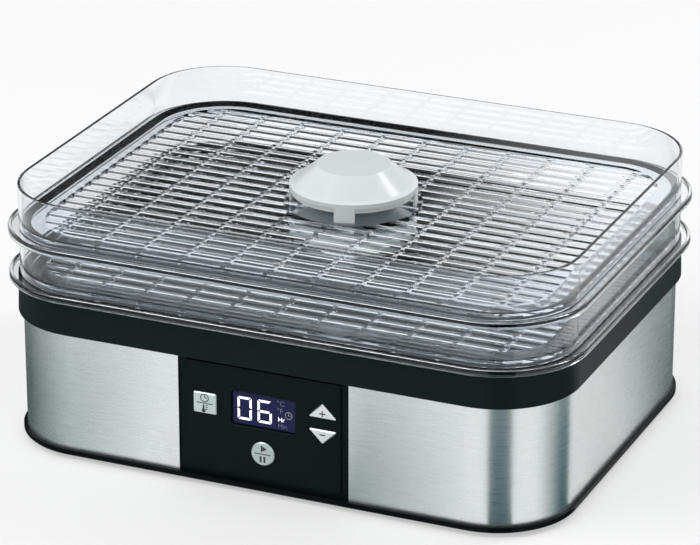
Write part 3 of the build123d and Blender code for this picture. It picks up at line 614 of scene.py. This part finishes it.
class DEHYDRATOR_OT_base(bpy.types.Operator):
    """Finish the steel wrap, the black mouldings, the feet and the cord entry"""
    bl_idname = "dehydrator.base"
    bl_label = "Base"

    def execute(self, context):
        finish = context.scene.dehydrator_finish
        glossy = {"gloss": 0.23, "grain": 2600, "level": 0.05, "relief": 0.14, "sheen": finish.sheen}
        dress(brushed_steel(finish.steel), "steel_wrap")
        dress(moulded("black_plastic", finish.plastic, **glossy),
              "top_housing", "outlet_grille", "cord_gland")
        dress(moulded("skirt_black", finish.skirt, **glossy), "bottom_pan")
        dress(moulded("foot_rubber", finish.rubber, gloss=0.62, grain=1400, level=0.3, relief=0.15),
              "rubber_feet")
        dress(plated("screw_metal", (0.42, 0.42, 0.43), rough=0.28), "housing_screws")
        return {"FINISHED"}


class DEHYDRATOR_OT_inside(bpy.types.Operator):
    """Finish the fan, heater, boards and wiring inside the base"""
    bl_idname = "dehydrator.inside"
    bl_label = "Inside"

    def execute(self, context):
        dress(moulded("inner_black", (0.02, 0.02, 0.022), gloss=0.45, grain=1800, level=0.3),
              "fan_rotor", "air_duct", "gland_nut", "display_module", "tact_switches", "power_components")
        dress(plated("plated_metal", (0.40, 0.40, 0.41), rough=0.32),
              "board_screws", "motor_bracket", "motor_screws", "fan_motor", "motor_shaft", "heater_clips",
              "thermal_cutout", "temperature_sensor")
        dress(plated("heater_sheath", (0.22, 0.20, 0.19), rough=0.42), "heating_element")
        dress(board_lacquer(), "control_board", "power_board")
        dress(moulded("ribbon_grey", (0.36, 0.36, 0.37), gloss=0.55, grain=900, level=0.3), "ribbon_cable")
        return {"FINISHED"}


class DEHYDRATOR_OT_trays(bpy.types.Operator):
    """Finish the clear trays and their air caps"""
    bl_idname = "dehydrator.trays"
    bl_label = "Trays"

    def execute(self, context):
        finish = context.scene.dehydrator_finish
        dress(clear_plastic(finish.clear, finish.clear_sheen),
              "lower_tray_frame", "lower_tray_grille", "upper_tray_frame", "upper_tray_grille")
        # the lower cap's darker grey is painted shade on the caps' one plastic
        dress(frosted("shaded_lower_cap", finish.shaded_lower_cap, through=0.30), "lower_air_cap")
        dress(frosted("white_cap", finish.white_cap, through=0.22), "upper_air_cap")
        return {"FINISHED"}


class DEHYDRATOR_OT_panel(bpy.types.Operator):
    """Finish the fascia and the buttons, and print the marks on the buttons"""
    bl_idname = "dehydrator.panel"
    bl_label = "Control panel"

    def execute(self, context):
        finish = context.scene.dehydrator_finish
        marks = context.scene.dehydrator_marks
        dress(moulded("fascia_black", finish.fascia, gloss=0.34, grain=3200, level=0.08, relief=0.10,
                      sheen=finish.sheen), "control_fascia")
        dress(satin_silver("square_silver", finish.silver), "mode_button")
        # the arrow buttons' paler silver is painted light on the buttons' one silver
        dress(satin_silver("arrow_silver", finish.painted_light_silver), "plus_button", "minus_button")
        # the round button's darker silver is painted shade on the buttons' one silver
        dress(satin_silver("round_silver", finish.painted_shade_silver), "start_button")
        ink = moulded("button_ink", finish.ink, gloss=0.5, grain=2000, level=0.2, relief=0.02)
        self.print_marks("mode_button", self.timer_marks(marks), 0, ink)
        self.print_marks("start_button", self.run_marks(marks), 0, ink)
        self.print_marks("plus_button", [self.plus_sign(marks)], -SIGN_SHIFT, ink)
        self.print_marks("minus_button", [self.minus_sign(marks)], SIGN_SHIFT, ink)
        return {"FINISHED"}

    def print_marks(self, button, marks, rise, ink):
        """Lays joined marks on a button's front, where they move with it."""
        low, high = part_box(button)
        place = ((low[0] + high[0]) / 2, low[1], (low[2] + high[2]) / 2 + rise)
        settle(move(join(marks), place), button + "_marks", button, ink)

    def timer_marks(self, marks):
        """A clock over a thermometer."""
        line, thick = marks.line, marks.thick
        face = move(clock(marks.icon / 2, line, thick), (0, 0, ICON_RISE))
        bulb = move(rounded_bar(BULB_SIZE, thick, BULB_SIZE, BULB_ROUND), (STEM_X, 0, BULB_Z))
        stem = move(rounded_bar(STEM_W, thick, STEM_H, STEM_ROUND), (STEM_X, 0, STEM_Z))
        ticks = [move(rounded_bar(TICK_W, thick, line * TICK_LINE, line * TICK_ROUND),
                      (TICK_X, 0, TICK_TOP - TICK_STEP * number)) for number in range(TICKS)]
        return [face, self.rule(marks), fuse(bulb, stem), *ticks]

    def run_marks(self, marks):
        """A start arrow over two pause bars."""
        arrow = move(right_arrow(marks.icon * ARROW_SIZE, marks.thick), (ARROW_X, 0, ICON_RISE))
        bars = [move(rounded_bar(PAUSE_W, marks.thick, PAUSE_H, PAUSE_ROUND),
                     (side * PAUSE_X, 0, -ICON_RISE)) for side in (-1, 1)]
        return [arrow, self.rule(marks), *bars]

    def rule(self, marks):
        """The line between two symbols."""
        return rounded_bar(marks.rule, marks.thick, marks.line, marks.line * LINE_ROUND)

    def minus_sign(self, marks):
        return rounded_bar(marks.sign, marks.thick, marks.line * SIGN_LINE, marks.line * SIGN_ROUND)

    def plus_sign(self, marks):
        across = self.minus_sign(marks)
        upright = rounded_bar(marks.line * SIGN_LINE, marks.thick, marks.sign, marks.line * SIGN_ROUND)
        return fuse(across, upright)


class DEHYDRATOR_OT_display(bpy.types.Operator):
    """Finish the lens and build the lit digits and unit marks"""
    bl_idname = "dehydrator.display"
    bl_label = "Display"

    def execute(self, context):
        look = context.scene.dehydrator_display
        dress(lens_tint(look.lens), "display_window")
        lit = lit_mark("lit_digit", look.lit, level=1.0)
        # the unit marks that are off glow faintly: painted glow
        dim = lit_mark("dim_unit", look.dim, level=0.4)
        timer_light = lit_mark("timer_ring", shade(look.lit, TIMER_TONE), level=0.72)
        segments = self.segments(look)
        for number, (name, on) in enumerate(DIGITS):
            place = self.spot(look.margin + look.digit_w / 2 + number * look.pitch, 0)
            settle(join([copy(segments[letter], place) for letter in on]), name, "base", lit)
        discard(*segments.values())
        for name, words, place, share, on in UNITS:
            mark = self.unit(words, look.unit_h * share, look.relief)
            settle(move(mark, self.spot(*place)), name, "base", lit if on else dim)
        face = clock(TIMER_RADIUS, TIMER_LINE, look.relief)
        settle(move(face, self.spot(*TIMER_PLACE)), "timer_mark", "base", timer_light)
        return {"FINISHED"}

    def spot(self, across, up):
        """A place on the lens, from its left edge and its middle."""
        low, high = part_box("display_window")
        return (low[0] + across, low[1], (low[2] + high[2]) / 2 + up)

    def segments(self, look):
        """The seven bars of a digit about its centre: a to f clockwise from the top, and g across."""
        wide, high, stroke, gap, thick = look.digit_w, look.digit_h, look.stroke, look.gap, look.relief
        span = wide - 2 * gap
        block((span, thick, stroke))
        pick(lambda normal: normal.z < -FACING)
        bpy.ops.transform.resize(value=((span - 2 * stroke) / span, 1, 1))
        top = move(close(), (0, 0, (high - stroke) / 2))
        # The inner edge of an upright loses a stroke at its outer end and half of one at its middle end
        tall = high / 2 - 1.5 * gap
        block((stroke, thick, tall))
        pick(lambda normal: normal.x < -FACING)
        bpy.ops.transform.resize(value=(1, 1, (tall - 1.5 * stroke) / tall),
                                 center_override=(-stroke / 2, 0, tall / 3 - tall / 2))
        upright = move(close(), ((wide - stroke) / 2, 0, gap / 2 + tall / 2))
        block((wide - 2 * stroke - 2 * gap, thick, stroke))
        for side in (-1, 1):
            pick(lambda normal: normal.x * side > FACING)
            bpy.ops.mesh.extrude_region_move(TRANSFORM_OT_translate={"value": (side * stroke / 2, 0, 0)})
            bpy.ops.transform.resize(value=(1, 1, 0))
        bpy.ops.mesh.select_all(action="SELECT")
        bpy.ops.mesh.remove_doubles(threshold=1e-6)
        middle = close()
        return {"a": top, "b": upright, "c": copy(upright, turn=(pi, 0, 0)),
                "d": copy(top, turn=(0, pi, 0)), "e": copy(upright, turn=(0, pi, 0)),
                "f": copy(upright, turn=(0, 0, pi)), "g": middle}

    def unit(self, words, high, thick):
        """A small unit mark, made a mesh before it is placed."""
        deselect()
        bpy.ops.object.text_add()
        words_curve = bpy.context.object.data
        words_curve.body = words
        words_curve.size = high
        words_curve.align_y = "CENTER"
        words_curve.extrude = thick / 2
        words_curve.resolution_u = 3
        bpy.ops.object.convert(target="MESH")
        mark = bpy.context.object
        mark.rotation_euler = FRONT_TURN
        return mark


class DEHYDRATOR_OT_stage(bpy.types.Operator):
    """Set up the floor, the light and the camera"""
    bl_idname = "dehydrator.stage"
    bl_label = "Stage"

    def execute(self, context):
        stage = context.scene.dehydrator_stage
        self.floor(stage)
        self.sky(context.scene, stage)
        self.lamp("key_lamp", KEY_PLACE, KEY_SIZE, stage.key)
        self.lamp("rim_lamp", RIM_PLACE, RIM_SIZE, stage.rim)
        self.rear_flag()
        for name, row in CARDS.items():
            self.card(name, *row)
        self.camera(context.scene, stage)
        context.scene.view_settings.view_transform = "Standard"
        return {"FINISHED"}

    def floor(self, stage):
        """A pale floor that keeps the shadow and is partly plain white where it is seen."""
        deselect()
        bpy.ops.mesh.primitive_plane_add(size=FLOOR_SIZE)
        floor = bpy.context.object
        floor.name = "studio_floor"

        def build(g):
            cloud = g.noise((2, 2, 2), detail=2)
            paper = g.node("BsdfPrincipled", None, {
                "Base Color": g.blend(cloud, shade(stage.floor, 0.995), stage.floor),
                "Roughness": 0.9,
                "Specular IOR Level": 0.1,
            })
            white = g.node("Emission", None, {"Color": (1, 1, 1, 1), "Strength": 1.0})
            return g.node("MixShader", None, {0: stage.glow * seen(g), 1: paper, 2: white})
        floor.data.materials.append(material("studio_floor", build))

    def sky(self, scene, stage):
        """A sky that is white where it is seen and softer where it lights."""
        world = bpy.data.worlds.new("studio_sky")
        world.use_nodes = True
        scene.world = world
        g = Graph(world.node_tree)
        level = stage.ambient + (1.0 - stage.ambient) * seen(g)
        white = g.node("Background", None, {"Color": (1, 1, 1, 1), "Strength": level})
        g.node("OutputWorld", None, {"Surface": white})

    def lamp(self, name, place, size, power):
        deselect()
        bpy.ops.object.light_add(type="AREA", location=place)
        lamp = bpy.context.object
        lamp.name = name
        lamp.data.shape = "RECTANGLE"
        lamp.data.size, lamp.data.size_y = size
        lamp.data.energy = power
        aim = Vector(LAMP_AIM) - Vector(place)
        lamp.rotation_euler = aim.to_track_quat("-Z", "Y").to_euler()

    def rear_flag(self):
        """A dark cloth behind the object that draws the edges of the trays and thins out to the right."""
        deselect()
        bpy.ops.mesh.primitive_plane_add(size=1, location=FLAG_PLACE, rotation=FRONT_TURN)
        flag = bpy.context.object
        flag.scale = FLAG_SIZE
        apply_place()
        flag.name = "rear_flag"

        def build(g):
            weave = g.blend(g.noise((40, 40, 40)), (0.02, 0.02, 0.02), (0.03, 0.03, 0.03))
            return matt(g, weave, Alpha=1 - along((FLAG_SOLID_X, 0), (FLAG_CLEAR_X, 0))(g))
        flag.data.materials.append(material("rear_flag", build))
        self.unseen(flag)

    def card(self, name, corners, mask, first, last):
        """A floor card, shaded by a mask from one colour to another, that only shows in gloss."""
        deselect()
        bpy.ops.mesh.primitive_circle_add(vertices=len(corners), fill_type="NGON")
        card = bpy.context.object
        card.name = name
        outline = [card.data.vertices[index] for index in card.data.polygons[0].vertices]
        for vertex, corner in zip(outline, corners):
            vertex.co = (*corner, CARD_Z)
        card.data.materials.append(material(name, lambda g: matt(g, g.blend(mask(g), first, last))))
        card.visible_transmission = False
        self.unseen(card)

    def unseen(self, cloth):
        """Keeps a cloth or card of the stage out of sight, and out of the plain light."""
        cloth.visible_camera = False
        cloth.visible_diffuse = False
        cloth.visible_shadow = False

    def camera(self, scene, stage):
        """A camera at the photograph's place."""
        deselect()
        turn, rise = stage.azimuth, stage.elevation
        back = Vector((sin(turn) * cos(rise), -cos(turn) * cos(rise), sin(rise)))
        bpy.ops.object.camera_add(location=Vector(stage.target) + back * stage.distance)
        camera = bpy.context.object
        camera.name = "photo_camera"
        camera.rotation_euler = (-back).to_track_quat("-Z", "Y").to_euler()
        camera.data.sensor_width = SENSOR_MM
        camera.data.lens = stage.focal
        camera.data.clip_end = VIEW_DEPTH
        scene.camera = camera


GROUPS = {
    "dehydrator_finish": DehydratorFinish,
    "dehydrator_display": DehydratorDisplay,
    "dehydrator_marks": DehydratorMarks,
    "dehydrator_stage": DehydratorStage,
}
STEPS = (DEHYDRATOR_OT_base, DEHYDRATOR_OT_inside, DEHYDRATOR_OT_trays, DEHYDRATOR_OT_panel,
         DEHYDRATOR_OT_display, DEHYDRATOR_OT_stage)


class DEHYDRATOR_PT_sidebar(bpy.types.Panel):
    """Sizes, colours and steps of the dehydrator's looks"""
    bl_label = "Food dehydrator"
    bl_idname = "DEHYDRATOR_PT_sidebar"
    bl_space_type = "VIEW_3D"
    bl_region_type = "UI"
    bl_category = "Dehydrator"

    def draw(self, context):
        for name, kind in GROUPS.items():
            box = self.layout.box()
            for entry in kind.__annotations__:
                box.prop(getattr(context.scene, name), entry)
        for step in STEPS:
            self.layout.operator(step.bl_idname)


CLASSES = (*GROUPS.values(), *STEPS, DEHYDRATOR_PT_sidebar)


def register():
    for entry in CLASSES:
        bpy.utils.register_class(entry)
    for name, kind in GROUPS.items():
        setattr(bpy.types.Scene, name, PointerProperty(type=kind))


def unregister():
    for name in GROUPS:
        delattr(bpy.types.Scene, name)
    for entry in reversed(CLASSES):
        bpy.utils.unregister_class(entry)


def main():
    register()
    bpy.ops.dehydrator.base()
    bpy.ops.dehydrator.inside()
    bpy.ops.dehydrator.trays()
    bpy.ops.dehydrator.panel()
    bpy.ops.dehydrator.display()
    bpy.ops.dehydrator.stage()


if __name__ == "__main__":
    main()
